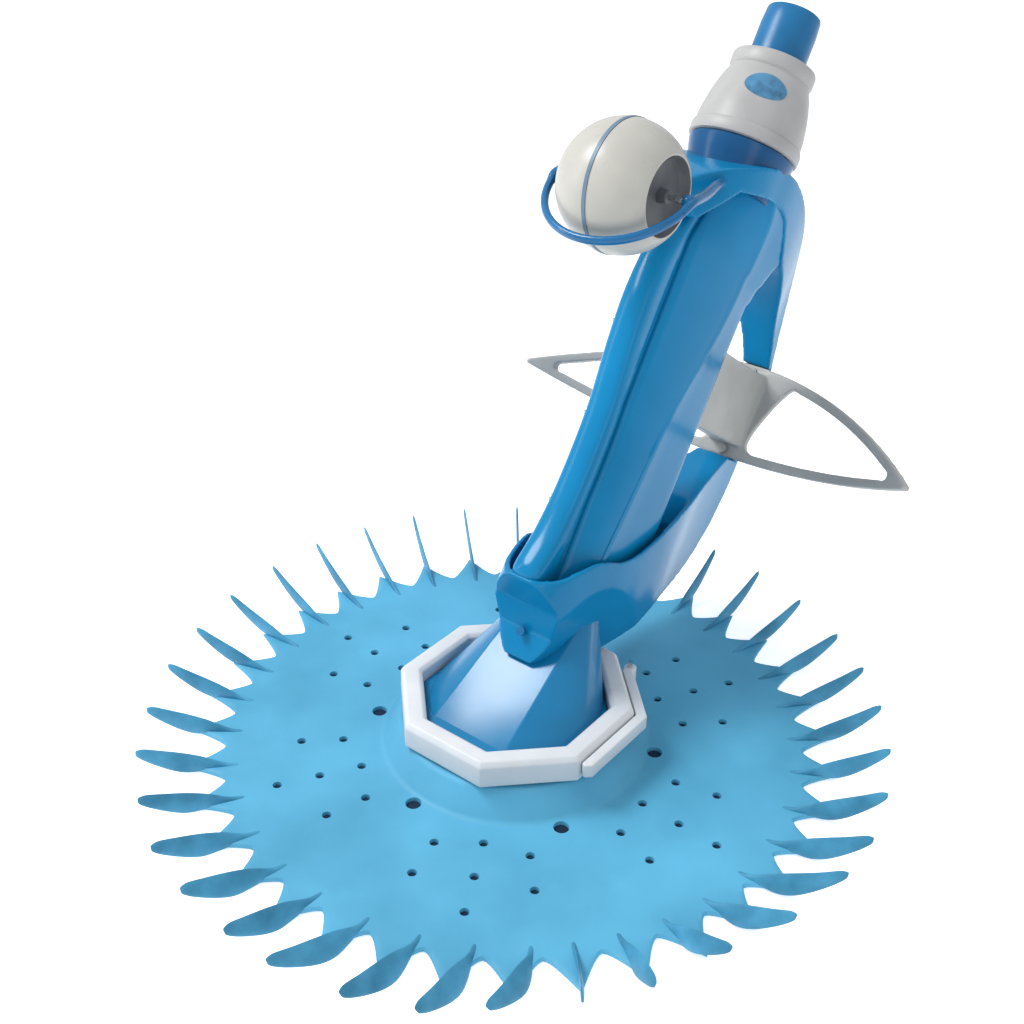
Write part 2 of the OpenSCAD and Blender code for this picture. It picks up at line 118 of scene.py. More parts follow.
BODY = material("body_plastic", (0.003, 0.195, 0.41), rough=0.19, vary=0.10, scale=14, bump=0.02,
                spread=0.05, specular=0.2)
FOOT = material("foot_plastic", (0.003, 0.175, 0.37), rough=0.2, vary=0.10, scale=14, bump=0.04,
                spread=0.05, specular=0.42)
DEEP = material("deep_plastic", (0.003, 0.075, 0.20), rough=0.24, vary=0.10, scale=18, bump=0.03)
DISC = material("disc_plastic", (0.070, 0.320, 0.50), rough=0.5, vary=0.09, scale=9, bump=0.12,
                bump_scale=500, tint=(0.10, 0.40, 0.60), specular=0.25)
FIN = material("fin_plastic", (0.038, 0.22, 0.37), rough=0.5, vary=0.16, scale=45, bump=0.12,
               bump_scale=500, tint=(0.065, 0.29, 0.46), specular=0.25)
RING = material("ring_plastic", (0.63, 0.65, 0.67), rough=0.38, vary=0.05, scale=40, bump=0.06,
                subsurface=0.08)
BUMPER = material("bumper_plastic", (0.40, 0.40, 0.385), rough=0.36, vary=0.09, bump=0.05)
NUT = material("nut_plastic", (0.38, 0.375, 0.37), rough=0.40, vary=0.09, scale=35, bump=0.07)
FLOAT = material("float_plastic", (0.44, 0.43, 0.39), rough=0.3, scale=26, bump=0.05,
                 subsurface=0.08)
# Painted shade: a dark grey for the float's pole recesses.
POLE_PAINTED_SHADE = material("float_pole_painted_shade", (0.10, 0.105, 0.11), rough=0.5, vary=0.2, scale=60, bump=0.08)
BAND = material("band_plastic", (0.12, 0.19, 0.26), rough=0.4, vary=0.1, scale=50)
HOOP = material("hoop_plastic", (0.006, 0.12, 0.29), rough=0.22, vary=0.1, scale=40, specular=0.4)
SPIGOT = material("spigot_plastic", (0.010, 0.135, 0.31), rough=0.32, vary=0.12, scale=50,
                  bump=0.06)
BADGE = material("badge_plastic", (0.06, 0.19, 0.33), rough=0.28, vary=0.35, scale=160, spread=0.2)
RUBBER = material("rubber", (0.03, 0.035, 0.04), rough=0.7, vary=0.2, scale=60, bump=0.2)
STEEL = material("steel", (0.62, 0.63, 0.65), rough=0.28, vary=0.06, scale=200, bump=0.05)
STEEL.node_tree.nodes["Principled BSDF"].inputs["Metallic"].default_value = 1.0
INNER = material("inner_plastic", (0.70, 0.68, 0.64), rough=0.45, vary=0.06, scale=40)
IRON = material("painted_iron", (0.05, 0.05, 0.055), rough=0.55, vary=0.2, scale=80, bump=0.3)
# Painted shade: a near-black blue for plugs inside the disc's holes, standing in for the shadowed
# floor under the disc.
PAINTED_HOLE_SHADE = material("painted_hole_shade", (0.003, 0.02, 0.05), rough=0.8, vary=0.2, scale=60)

# Every CAD node gets the look of its slot, and the replaced ones are hidden later
SLOT_LOOKS = {
    "pad_rubber": RUBBER, "dark_blue_plastic": DEEP, "blue_plastic": BODY,
    "inner_white_plastic": INNER, "white_plastic": RING, "steel": STEEL, "disc_plastic": DISC,
    "seal_rubber": RUBBER, "weight_iron": IRON, "bumper_plastic": BUMPER, "hoop_plastic": HOOP,
    "float_plastic": FLOAT, "band_plastic": BAND, "nut_plastic": NUT, "badge_plastic": BADGE,
    "spigot_plastic": SPIGOT}
SLOT_OF = {p["node"]: p["material_slot"] for p in frame["record"]["subparts"]}
for node, obj in frame["nodes"].items():
    obj.data.materials.clear()
    obj.data.materials.append(SLOT_LOOKS[SLOT_OF[node]])


# ---------------------------------------------------------------- mesh helpers
MERGE_DISTANCE = 1e-7


def add_object(name, data):
    o = bpy.data.objects.new(name, data)
    bpy.context.scene.collection.objects.link(o)
    return o


def new_object(name, verts, faces):
    me = bpy.data.meshes.new(name)
    me.from_pydata([tuple(v) for v in verts], [], faces)
    bm = bmesh.new()
    bm.from_mesh(me)
    bmesh.ops.remove_doubles(bm, verts=bm.verts, dist=MERGE_DISTANCE)
    bmesh.ops.recalc_face_normals(bm, faces=bm.faces)
    bm.to_mesh(me)
    bm.free()
    return add_object(name, me)


def bake(o):
    """Applies the modifiers to the mesh."""
    dg = bpy.context.evaluated_depsgraph_get()
    me = bpy.data.meshes.new_from_object(o.evaluated_get(dg))
    o.modifiers.clear()
    o.data = me
    return o


def put(o, body, look, slot, *nodes, angle=35):
    """Finishes a piece: material, shading, the body it rides and the CAD nodes it stands for."""
    o.data.materials.clear()
    o.data.materials.append(look)
    for p in o.data.polygons:
        p.use_smooth = True
    o.data.set_sharp_from_angle(angle=math.radians(angle))
    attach(o, body)
    if nodes:
        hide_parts(*nodes)
    return o


def polar(r, deg):
    a = math.radians(deg)
    return r * math.cos(a), r * math.sin(a)


def smooth_path(points, steps=6, closed=False):
    """Catmull-Rom curve through the points, in so many steps from each to the next."""
    n = len(points)
    out = []
    for i in range(n if closed else n - 1):
        near = [(i + k - 1) % n if closed else min(max(i + k - 1, 0), n - 1) for k in range(4)]
        p = [Vector(points[m]) for m in near]
        for j in range(steps):
            u = j / steps
            out.append(0.5 * ((2 * p[1]) + (p[2] - p[0]) * u
                              + (2 * p[0] - 5 * p[1] + 4 * p[2] - p[3]) * u * u
                              + (3 * p[1] - p[0] - 3 * p[2] + p[3]) * u ** 3))
    if not closed:
        out.append(Vector(points[-1]))
    return out


def table(points):
    """A function of the first coordinate, smooth through the points."""
    curve = smooth_path(points, 8)

    def value(u):
        if u <= curve[0][0]:
            return curve[0][1]
        for a, b in zip(curve, curve[1:]):
            if u <= b[0]:
                return a[1] + (b[1] - a[1]) * (u - a[0]) / max(b[0] - a[0], 1e-9)
        return curve[-1][1]
    return value


def loft(name, rings):
    """Skin over rings of equally many points, closed at both ends."""
    n = len(rings[0])
    verts = [v for r in rings for v in r]
    faces = [(i * n + j, i * n + (j + 1) % n, (i + 1) * n + (j + 1) % n, (i + 1) * n + j)
             for i in range(len(rings) - 1) for j in range(n)]
    faces.append(tuple(range(n - 1, -1, -1)))
    faces.append(tuple((len(rings) - 1) * n + j for j in range(n)))
    return new_object(name, verts, faces)


def lathe(name, profile, place, steps=96, closed=True):
    """Turns a profile of (radius, height) about an axis; place maps (x, y, z) to the model."""
    n = len(profile)
    verts, faces = [], []
    for k in range(steps):
        a = 2 * math.pi * k / steps
        verts += [place(r * math.cos(a), r * math.sin(a), z) for r, z in profile]
    for k in range(steps):
        for j in range(n if closed else n - 1):
            a, b = k * n, ((k + 1) % steps) * n
            faces.append((a + j, a + (j + 1) % n, b + (j + 1) % n, b + j))
    return new_object(name, verts, faces)


def prism(name, outline, place, low, high):
    """Extrudes a closed outline; place maps (u, v, w) to the model, with w from low to high."""
    n = len(outline)
    verts = [place(p[0], p[1], w) for w in (low, high) for p in outline]
    faces = [(j, (j + 1) % n, n + (j + 1) % n, n + j) for j in range(n)]
    faces += [tuple(range(n - 1, -1, -1)), tuple(range(n, 2 * n))]
    return new_object(name, verts, faces)


def side_prism(name, ts, half):
    """Prism across the body, from an outline of (t, s) points."""
    return prism(name, ts, lambda t, s, x: at(x, t, s), -half, half)


def plan_prism(name, xt, low, high):
    """Prism along the body, from an outline of (x, t) points."""
    return prism(name, xt, at, low, high)


def front_prism(name, xs, low, high):
    """Prism from front to back of the body, from an outline of (x, s) points."""
    return prism(name, xs, lambda x, s, t: at(x, t, s), low, high)


def both_sides(half):
    """Closes a half outline of (t, half width) pairs into (x, t) points."""
    right = [(w, t) for t, w in half]
    return right + [(-x, t) for x, t in reversed(right) if x > 1e-6]


def combine(base, operation, other):
    """Boolean of two pieces, which uses up the other."""
    mod = base.modifiers.new(operation, "BOOLEAN")
    mod.operation = operation
    mod.object = other
    mod.solver = "EXACT"
    bake(base)
    bpy.data.objects.remove(other)
    return base


def soften(o, voxel, passes):
    """Rounds every edge as a moulding has: fine remesh, then smoothing."""
    mod = o.modifiers.new("remesh", "REMESH")
    mod.mode = "VOXEL"
    mod.voxel_size = voxel * MM
    mod.adaptivity = 0
    sm = o.modifiers.new("smooth", "SMOOTH")
    sm.iterations = passes
    sm.factor = 0.5
    return bake(o)


def bevel(o, width, segments=3, angle=25):
    mod = o.modifiers.new("bevel", "BEVEL")
    mod.width = width * MM
    mod.segments = segments
    mod.limit_method = "ANGLE"
    mod.angle_limit = math.radians(angle)
    mod.harden_normals = False
    return bake(o)


def tube(name, path, radius, sides=16):
    """Round tube along a path of model points; radius is a function of 0..1."""
    rings = []
    n = len(path)
    ref = ACROSS
    for i, p in enumerate(path):
        d = (path[min(i + 1, n - 1)] - path[max(i - 1, 0)]).normalized()
        u = (ref - d * ref.dot(d)).normalized()
        ref = u
        v = d.cross(u)
        r = radius(i / (n - 1)) * MM
        rings.append([p + (u * math.cos(a) + v * math.sin(a)) * r
                      for a in (2 * math.pi * k / sides for k in range(sides))])
    return loft(name, rings)


def join(name, parts):
    """One piece from several, which are used up."""
    bm = bmesh.new()
    for p in parts:
        bm.from_mesh(p.data)
    me = bpy.data.meshes.new(name)
    bm.to_mesh(me)
    bm.free()
    for p in parts:
        bpy.data.objects.remove(p)
    return add_object(name, me)


# ---------------------------------------------------------------- disc with its fins
FINS = 36
FIN_PHASE = 8                   # angle of the first fin
COLUMNS = 16                    # mesh columns of the disc for each fin
PLAIN_R = 180                   # the disc is round up to here
GAP_R = 190.5                   # its edge midway between two fins
FIN_REACH = 24                  # how much further its edge runs out along a fin
DISC_TOP = [(46, 21), (74, 21), (76, 20.6), (78, 18.6), (86, 5.2), (88, 3.4), (91, 3)]
DISC_TOP += [(r, 3) for r in range(100, PLAIN_R + 1, 10)]
DISC_UNDER = [(86, 0), (74, 18.3), (46, 18.3)]
BIG_HOLE, SMALL_HOLE = 4.7, 2.6
# Radius of each small hole, and its angle from the middle of its group of seven
SMALL_HOLES = ((105, 0), (113.8, 15), (113.8, -15), (132.5, 0), (141.3, 15), (141.3, -15), (160, 0))


def disc_holes():
    """Radius from the middle, angle and size of each hole."""
    holes = []
    for k in range(6):
        holes.append((94, 26 + 60 * k, BIG_HOLE))
        for r, off in SMALL_HOLES:
            holes.append((r, 58 + 60 * k + off, SMALL_HOLE))
    return holes


def hole_lathes(profile):
    """A lathed piece in every hole; profile gives its section from the hole's radius."""
    parts = []
    for r, deg, size in disc_holes():
        cx, cy = polar(r, deg)
        parts.append(lathe("cut", profile(size), lambda x, y, z: row(cx + x, cy + y, z),
                           steps=24, closed=False))
    return join("hole_pieces", parts)


def make_disc():
    count = FINS * COLUMNS
    verts, faces = [], []
    for k in range(count):
        a = math.radians(FIN_PHASE + 360 * (k - COLUMNS / 2) / count)
        u = abs((k % COLUMNS) / COLUMNS - 0.5) * 2
        rim = GAP_R + FIN_REACH * max(0, 1 - u) ** 1.45 - PLAIN_R
        column = list(DISC_TOP)
        column += [(PLAIN_R + rim * f, 3 - 0.9 * max(0, f - 0.9) / 0.1)
                   for f in (0.35, 0.65, 0.9, 0.97, 1.0)]
        column += [(PLAIN_R + rim * f, z) for f, z in ((1.0, 0.35), (0.97, 0.35), (0.6, 0.0))]
        column += DISC_UNDER
        c, s = math.cos(a), math.sin(a)
        verts += [row(r * c, r * s, z) for r, z in column]
    n = len(column)
    for k in range(count):
        a, b = k * n, ((k + 1) % count) * n
        faces += [(a + j, a + (j + 1) % n, b + (j + 1) % n, b + j) for j in range(n)]
    disc = new_object("finned_disc", verts, faces)
    cutters = hole_lathes(
        lambda r: [(0, -3), (r, -3), (r, 1.5), (r + 0.4, 3.05), (r + 0.4, 9), (0, 9)])
    return combine(disc, "DIFFERENCE", cutters)


# All four by angle around the disc. Radius and height of each fin's tip:
TIP_R = table([
    (-180, 241), (-142, 245), (-112, 246), (-92, 246), (-72, 246), (-62, 243), (-52, 236),
    (-42, 231), (-32, 231), (-22, 231), (-2, 240), (18, 243), (38, 243), (58, 244), (78, 240),
    (108, 239), (138, 240), (180, 241)])
TIP_Z = table([
    (-180, 30), (-152, 21), (-142, 17), (-112, 17), (-92, 18), (-72, 20), (-62, 18), (-52, 17),
    (-42, 15), (-32, 16), (-22, 20), (-2, 24), (18, 26), (38, 27), (58, 25), (78, 31), (108, 35),
    (138, 34), (180, 30)])
# Sideways bend of each tip in mm and lean of its blade in degrees, most at the near fins:
BEND = table([
    (-180, 0), (-92, 0), (-82, -9), (-72, -6), (-62, -8), (-52, -13), (-42, -3), (-32, -3),
    (-22, 3), (-12, 7), (-2, 10), (8, 3), (18, 0), (180, 0)])
LEAN = table([
    (-180, 2), (-142, -8), (-112, -22), (-92, -28), (-72, -34), (-52, -34), (-42, -6), (-32, 18),
    (-12, 26), (8, 22), (38, 12), (68, 4), (180, 2)])
# Lower and upper edge of a plain blade, from its root at 0 to its tip at 1:
BLADE_LOW = table([
    (0, 2.4), (0.2, 1.6), (0.38, 0.6), (0.5, 0.9), (0.64, 3.6), (0.8, 9), (0.93, 14.4),
    (0.98, 16.8), (1, 18.4)])
BLADE_HIGH = table([
    (0, 3.0), (0.15, 5), (0.35, 11), (0.55, 15.5), (0.75, 19.2), (0.93, 22.6), (0.98, 22.9),
    (1, 22.0)])
BLADE_ROOT_R = 181
BLADE_TIP_Z = 20.3              # a plain blade's tip, and the height it leans about
BLADE_FLOOR = 0.4               # no part of a blade goes lower
BLADE_ALONG, BLADE_UP = 17, 5   # points of its mesh each way


def make_fins():
    rng = random.Random(7)
    along, up = BLADE_ALONG, BLADE_UP
    n = along * up
    rim = ([(i, 0) for i in range(along)] + [(along - 1, j) for j in range(1, up)]
           + [(i, up - 1) for i in range(along - 2, -1, -1)]
           + [(0, j) for j in range(up - 2, 0, -1)])
    parts = []
    for k in range(FINS):
        deg = (FIN_PHASE + 10 * k + 180) % 360 - 180
        a = math.radians(deg)
        rad = Vector((math.cos(a), math.sin(a), 0))
        tan = Vector((-math.sin(a), math.cos(a), 0))
        lean = math.radians(LEAN(deg) + rng.uniform(-3, 3))
        bend = BEND(deg) + rng.uniform(-1, 1)
        tip_r = TIP_R(deg) + rng.uniform(-1, 0.5)
        lift = TIP_Z(deg) - BLADE_TIP_Z + rng.uniform(-1, 1)
        verts, faces = [], []
        for side in (1, -1):
            for i in range(along):
                v = i / (along - 1)
                r = BLADE_ROOT_R + (tip_r - BLADE_ROOT_R) * v
                low, high = BLADE_LOW(v), BLADE_HIGH(v)
                for j in range(up):
                    w = j / (up - 1)
                    z = max(low + (high - low) * w + lift * v ** 2, BLADE_FLOOR)
                    thin_edge = 0.25 if j in (0, up - 1) else 1
                    thick = (1.7 - 0.5 * w) * (1 - 0.35 * v) * thin_edge
                    shift = (z - lift - BLADE_TIP_Z) * math.tan(lean) + bend * v ** 2.2
                    verts.append((rad * r + tan * (shift + side * thick)
                                  + Vector((0, 0, z))) * MM)
        for i in range(along - 1):
            for j in range(up - 1):
                q = (i * up + j, i * up + j + 1, (i + 1) * up + j + 1, (i + 1) * up + j)
                faces.append(q)
                faces.append(tuple(x + n for x in reversed(q)))
        for p, q in zip(rim, rim[1:] + rim[:1]):
            a0, b0 = p[0] * up + p[1], q[0] * up + q[1]
            faces.append((a0, b0, b0 + n, a0 + n))
        parts.append(new_object("fin", verts, faces))
    fins = join("disc_fins", parts)
    mod = fins.modifiers.new("sub", "SUBSURF")
    mod.levels = mod.render_levels = 1
    return bake(fins)


# ---------------------------------------------------------------- foot
OCTAGON_TURN = 22.5             # half of an octagon's side, in degrees
FOOT_R = 58.5                   # round edge of the foot's cover
FOOT_Z = (25.6, 30.5)           # bottom and top of its low upright wall
FRONT_RIDGE = -60               # angle where its flat front panel begins
# Place behind the middle, half width and height of the corners of its crown
FOOT_CROWN = ((34, 18.5, 76.5), (44, 23, 83.5), (58, 23, 83.5), (63, 13.5, 76))


def octagon_place(x, y, z):
    c, s = math.cos(math.radians(OCTAGON_TURN)), math.sin(math.radians(OCTAGON_TURN))
    return row(x * c - y * s, x * s + y * c, z)


def make_foot():
    steps = 32
    pts = []
    for k in range(steps + 1):
        x, y = polar(FOOT_R, FRONT_RIDGE + (180 - 2 * FRONT_RIDGE) * k / steps)
        pts += [(x, y, z) for z in FOOT_Z]
    for y, w, z in FOOT_CROWN:
        pts += [(w, y, z), (-w, y, z)]
    me = bpy.data.meshes.new("foot_pyramid")
    bm = bmesh.new()
    for p in pts:
        bm.verts.new(row(*p))
    bmesh.ops.convex_hull(bm, input=bm.verts)
    bmesh.ops.dissolve_limit(bm, angle_limit=math.radians(1), verts=bm.verts, edges=bm.edges)
    bm.to_mesh(me)
    bm.free()
    top = add_object("foot_pyramid", me)
    bevel(top, 1.1, angle=17)
    skirt = lathe("skirt", [(34, 22.6), (63.9, 22.6), (63.9, 30), (62.5, 31.4), (57, 32.2),
                            (34, 32.2)], octagon_place, steps=8)
    bevel(skirt, 0.6, segments=2)
    return join("foot_cover", [top, skirt])


def make_ring():
    profile = [(64, 22.4), (79.2, 22.4), (80, 24), (79.6, 37.5), (77, 41), (67, 41), (64, 38.5)]
    return bevel(lathe("octagon_ring", profile, octagon_place, steps=8), 1.1, angle=15)


def octagon_point(r, deg):
    """Point at that angle on an octagon whose corners are at radius r."""
    a = math.radians(deg)
    from_side = a if deg < OCTAGON_TURN else a - math.pi / 4
    rr = r * math.cos(math.radians(OCTAGON_TURN)) / math.cos(from_side)
    return (rr * math.cos(a), rr * math.sin(a))


def make_catch():
    outer = [octagon_point(r, deg) for r, deg in ((84, -21), (88, -18), (88, 5), (88, 22.5))]
    pin_x, pin_y = 82.5 * math.cos(math.radians(58)), 82.5 * math.sin(math.radians(58))
    knuckle_r = 4.2
    knuckle = [(pin_x + knuckle_r * math.cos(math.radians(45 + d)),
                pin_y + knuckle_r * math.sin(math.radians(45 + d))) for d in range(-76, 181, 16)]
    inner = [octagon_point(80.8, deg) for deg in (57, 22.5, -21)]
    band = prism("ring_catch_band", outer + knuckle + inner, row, 26.6, 36.6)
    return bevel(band, 0.9, angle=30)


# ---------------------------------------------------------------- body
# By place along the body axis: its front, the crease along its side, its half width, its back
front_of = table([
    (58, -38), (66, -47), (71, -56), (76, -65.5), (80, -68.4), (86, -67.6), (94, -64.6),
    (106, -60.6), (128, -56.4), (150, -54.5), (175, -54), (198, -55), (220, -58.5), (240, -61.5),
    (267, -63.5), (293, -61), (320, -55), (345, -47), (364, -40)])
crease_of = table([
    (50, -24), (100, -20), (150, -13), (210, -4), (264, 13), (300, 20), (330, 19), (350, 12),
    (366, 4)])
width_of = table([(50, 26), (285, 26), (310, 27.5), (330, 30), (345, 32.2), (366, 33)])
back_of = table([(50, 50), (275, 50), (300, 54), (325, 64), (345, 76), (366, 84)])
# By place behind the axis: half width of the hood, and how high its rim is along the axis
hood_half = table([
    (-74, 2), (-66, 14), (-44, 26), (-18, 33.4), (6, 34), (24, 33.4), (44, 31.5), (66, 28),
    (90, 22.5)])
rim_of = table([
    (-64, 340), (-55, 347), (-36, 358), (-12, 368), (13, 376), (40, 376.5), (66, 370), (88, 358)])
BODY_FROM, BODY_TO = 58, 366    # along the axis
BODY_STEPS = 76
HOOD_FROM = 285                 # above here the body stays inside the hood
RISE_FROM = 300                 # above here its sections bend up to the hood's rim
BACK_CORNER = 11                # radius of its back corners


def body_ring(s):
    """Section across the body: a rounded spine, a groove, a flat side to a crease, a boxed back."""
    tf, tc, w, tb = front_of(s), crease_of(s), width_of(s), back_of(s)
    right = [(0, tf), (3.5, tf + 0.2), (6.5, tf + 1.0), (8.8, tf + 2.3), (10.3, tf + 4.4),
             (10.9, tf + 7.5)]
    g = max(-44.5, tf + 11)
    for f in (0.3, 0.6, 0.9):
        right.append((10.9 - 0.3 * f, tf + 7.5 + (g - tf - 7.5) * f))
    right += [(9.6, g), (9.0, g + 1.4), (9.7, g + 2.6), (11.6, g + 2.3), (13.0, g + 3.0)]
    x0, t0 = 13.0, g + 3.0
    for f in (0.12, 0.25, 0.4, 0.55, 0.7, 0.82, 0.9):
        bulge = 1.6 * math.sin(math.pi * f)
        right.append((x0 + (w - x0) * f + bulge, t0 + (tc - t0) * f))
    right += [(w - 0.6, tc - 3.0), (w - 0.05, tc - 1.0), (w + 0.05, tc + 1.0), (w - 0.3, tc + 3.2)]
    for f in (0.3, 0.6, 0.85):
        right.append((w - 0.3 - 2.2 * f, tc + 3.2 + (tb - BACK_CORNER - tc - 3.2) * f))
    cx, ct = w - 2.5 - BACK_CORNER, tb - BACK_CORNER
    for i in range(7):
        a = math.pi / 2 * i / 6
        right.append((cx + BACK_CORNER * math.cos(a), ct + BACK_CORNER * math.sin(a)))
    right += [(cx * 0.6, tb + 0.4), (cx * 0.3, tb + 0.6), (0, tb + 0.7)]
    if s > HOOD_FROM:
        right = [(min(x, max(hood_half(t) - 0.5, 2)), t) for x, t in right]
    left = [(-x, t) for x, t in reversed(right[1:-1])]
    rise = max(0, (s - RISE_FROM) / (BODY_TO - RISE_FROM))
    return [at(x, t, s + rise * (rim_of(t) - BODY_TO)) for x, t in right + left]


def make_body():
    return loft("body_tube", [body_ring(BODY_FROM + (BODY_TO - BODY_FROM) * i / BODY_STEPS)
                              for i in range(BODY_STEPS + 1)])


def make_screw_heads():
    """Pan heads on the left flank of the spine."""
    profile = [(0, 8.6), (2.9, 8.6), (2.9, 11.2), (2.5, 11.7), (1.1, 11.9), (1.0, 11.2),
               (0, 11.2)]
    parts = []
    for s in (130, 190, 250):
        t = front_of(s) + 7.2
        parts.append(lathe("head", profile, lambda x, y, z: at(-z, t + x, s + y),
                           steps=28, closed=False))
    return join("body_screw_heads", parts)


# ---------------------------------------------------------------- bows
# Side outlines are (t, s) points. Plans are (t, half width) pairs.
UPPER_OUT = [
    (-58, 322), (-73, 333), (-71, 342), (-55, 356), (-36, 366.5), (-12, 376.5), (13, 382.3),
    (40, 381.5), (66, 376), (88, 366.5), (106, 353), (119, 337), (132, 314), (143, 292),
    (152, 276)]
UPPER_IN = [
    (142, 274.5), (131, 288), (112, 305), (92, 319), (74, 329), (58, 335), (46, 345), (28, 358),
    (0, 359), (-34, 351)]
UPPER_PLAN = [
    (-74, 0), (-73, 8), (-66, 14), (-44, 26), (-18, 33.4), (6, 34), (24, 33.6), (44, 31.5),
    (66, 28), (90, 22.5), (120, 14.5), (156, 9.5)]
UPPER_END = [(154, 262), (148.2, 262), (148.2, 274.5)]
LOWER_FRONT = [(-36, 25), (-39, 45), (-50, 62), (-68, 76)]
LOWER_TOP = [
    (-68.6, 77.4), (-62, 80.5), (-53, 86), (-43, 94), (-33, 101), (-20, 104.5), (-5, 107),
    (12, 114), (36, 130), (57, 146), (84, 166), (106, 184), (128, 201.5)]
LOWER_END = [(148.2, 201.5), (148.2, 214), (154, 214)]
LOWER_LOW = [
    (156, 200), (154, 176), (146, 148), (132, 122), (112, 102), (84, 84), (56, 66), (27, 44),
    (-10, 26)]
LOWER_PLAN = [
    (-70, 0), (-69, 8), (-64, 16), (-52, 24), (-30, 30), (0, 32), (36, 30), (70, 25), (100, 18),
    (130, 13), (158, 10)]
LOWER_HOLLOW = [
    (-33, 30), (-35.5, 46), (-46, 64), (-63.5, 77), (-64, 130), (40, 190), (80, 170), (74, 140),
    (80, 118), (76, 98), (56, 78), (30, 56), (-20, 26)]
FUNNEL = [
    (0, 20.5), (6, 22), (13, 28), (19, 38), (23, 50), (27, 64), (30.5, 82), (34.5, 104),
    (35, 130), (35, 300)]
BOW_HALF = 40                   # half width of the blank each bow is cut from
LOWER_WALL = 2.6
BOW_VOXEL, BOW_PASSES = 1.1, 7


def half_outline(plan, trim=0.0):
    pts = smooth_path(plan, 5)
    return both_sides([(p[0] + (trim if p[0] < 0 else -trim), max(p[1] - trim, 0.01))
                       for p in pts])


def funnel(trim):
    """Front outline of the lower bow: a rounded tongue that widens up to the lip."""
    half = [(max(x - trim, 0), z + (trim if x < 19 else 0)) for x, z in smooth_path(FUNNEL, 4)]
    return half + [(-x, z) for x, z in reversed(half[1:])]


def make_upper_bow():
    outline = smooth_path(UPPER_OUT) + UPPER_END + smooth_path(UPPER_IN)
    bow = side_prism("upper_bow_cover", outline, BOW_HALF)
    combine(bow, "INTERSECT", plan_prism("plan", half_outline(UPPER_PLAN), 240, 400))
    neck = lathe("neck", [(0, 364), (30.1, 364), (30.1, 420), (0, 420)], at, closed=False)
    combine(bow, "DIFFERENCE", neck)
    return soften(bow, BOW_VOXEL, BOW_PASSES)


def make_lower_bow():
    outline = LOWER_FRONT + smooth_path(LOWER_TOP, 5) + LOWER_END + smooth_path(LOWER_LOW, 5)
    bow = side_prism("lower_bow_cover", outline, BOW_HALF)
    combine(bow, "INTERSECT", plan_prism("plan", half_outline(LOWER_PLAN), 10, 230))
    combine(bow, "INTERSECT", front_prism("funnel", funnel(0), -130, 200))
    cavity = side_prism("hollow", LOWER_HOLLOW, BOW_HALF)
    combine(cavity, "INTERSECT", plan_prism("plan", half_outline(LOWER_PLAN, LOWER_WALL), 0, 260))
    combine(cavity, "INTERSECT", front_prism("funnel", funnel(LOWER_WALL), -130, 200))
    combine(bow, "DIFFERENCE", cavity)
    return soften(bow, BOW_VOXEL, BOW_PASSES)


# ---------------------------------------------------------------- bumper
WING_R = 247                    # the plate is bent to this radius
WING_T = 145                    # its middle, behind the axis
WING_X = 158                    # half its length
PLATE_HALF = 3.1                # half its thickness
MIDDLE_END = [(19, 211), (16, 216), (18, 227), (23, 241), (29, 254)]    # inner end of a loop
# The web that ties the plate's middle to the body, as (t, half width) pairs
WEB = [(52, 0.01), (52, 7), (80, 7), (110, 8), (130, 10), (143, 14), (143, 0.01)]


def bumper_hi(x):
    return 274 - 54 * (abs(x) / WING_X) ** 2


def bumper_lo(x):
    return 202 + 15.3 * (abs(x) / WING_X) ** 2


def bent(x, s, d):
    """Point on the bent plate, d behind its middle surface."""
    t = WING_T - (WING_R - math.sqrt(WING_R ** 2 - x * x))
    slope = x / math.sqrt(WING_R ** 2 - x * x)
    norm = math.hypot(1, slope)
    return at(x + d * slope / norm, t + d / norm, s)


def make_bumper():
    steps = 60
    xs = [-157.5 + 315 * i / steps for i in range(steps + 1)]
    plate = loft("bumper_wings", [
        [bent(x, bumper_hi(x), -PLATE_HALF), bent(x, bumper_hi(x), PLATE_HALF),
         bent(x, bumper_lo(x), PLATE_HALF), bent(x, bumper_lo(x), -PLATE_HALF)] for x in xs])
    top = [(x, bumper_hi(x) - 7.2 - 0.6 * (x / WING_X) ** 2) for x in range(36, 143, 6)]
    low = [(x, bumper_lo(x) + 7.2 - 0.8 * (x / WING_X) ** 2) for x in range(138, 23, -6)]
    loop = smooth_path(top + low + MIDDLE_END, 3, closed=True)
    for sign in (1, -1):
        hole = front_prism("hole", [(sign * x, s) for x, s in loop], 60, 180)
        combine(plate, "DIFFERENCE", hole)
    combine(plate, "UNION", plan_prism("web", both_sides(WEB), 212, 268))
    return soften(plate, 1.0, 6)


# ---------------------------------------------------------------- float and hoop
FLOAT_R = 40.0
HOOP_R = 47.2
HOOP_TILT = math.radians(24.5)
HOOP_END = 2                    # how far the hoop runs on behind the pins
POLE_SHADE_R, POLE_SHADE_X = 0.0238, 0.0235     # float faces nearer its axis and further out are its poles, coloured dark as painted shade in the pole recesses
# From the rim of a float half's pole recess, down into it, past the pin's hole and back inside
FLOAT_POLE = [
    (24.6, 31.4), (23.6, 31.3), (22.9, 30.4), (21.8, 26.4), (20.4, 25.2), (5.4, 24.6),
    (4.4, 25.2), (4.0, 31.0), (3.4, 31.6), (1.87, 31.6), (1.87, 22), (12, 22), (30, 18),
    (36.5, 8), (37.4, 1.3), (39.2, 1.3)]


def float_place(sign):
    return lambda x, y, z: FLOAT_C + Vector((sign * z, x, y)) * MM


def make_float_half(name, sign):
    seam, rim = math.acos(1.3 / FLOAT_R), math.acos(31 / FLOAT_R)
    profile = []
    for i in range(29):
        a = seam + (rim - seam) * i / 28
        profile.append((FLOAT_R * math.sin(a), FLOAT_R * math.cos(a)))
    return lathe(name, profile + FLOAT_POLE, float_place(sign))


